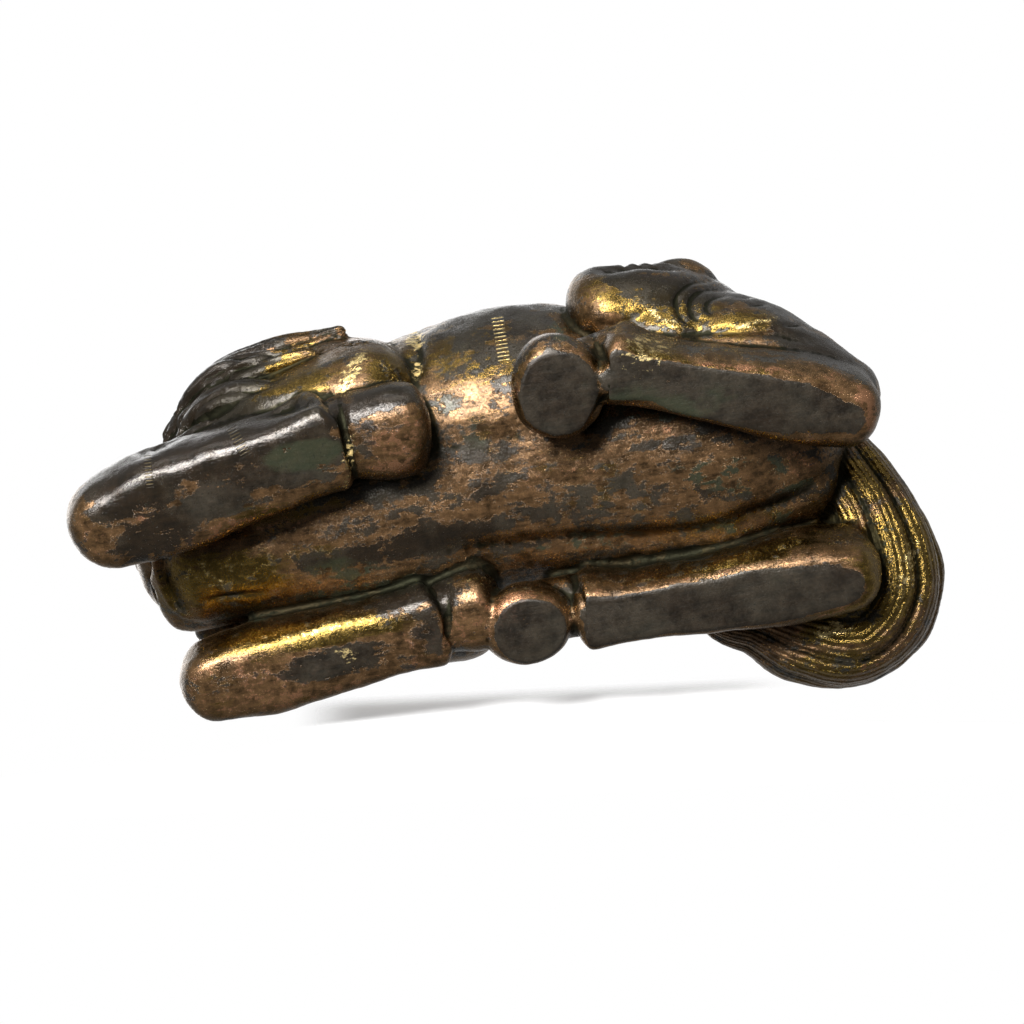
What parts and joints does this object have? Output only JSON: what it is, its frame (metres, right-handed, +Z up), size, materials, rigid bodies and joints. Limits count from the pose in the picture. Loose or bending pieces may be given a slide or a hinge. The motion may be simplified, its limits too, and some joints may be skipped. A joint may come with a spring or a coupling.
{
  "type": "bronze mythical beast figure",
  "caption": "Small cast bronze hoofed mythical beast lying on its folded legs, with a swept-back mane and a bushy tail curled round one hock.",
  "frame": {"origin": "middle of the overall box, in the plane of the worn flats that the folded legs rest on", "axes": "+Z up from the resting plane, the head faces -Y, the beast's left side is +X, the tail ends at +Y"},
  "size_m": [0.0562, 0.1046, 0.0412],
  "materials": {
    "bronze": "dark brown patina over bronze, rubbed to copper and gold on the high parts"
  },
  "bodies": {
    "root": {"beast": "bronze"}
  },
  "joints": []
}
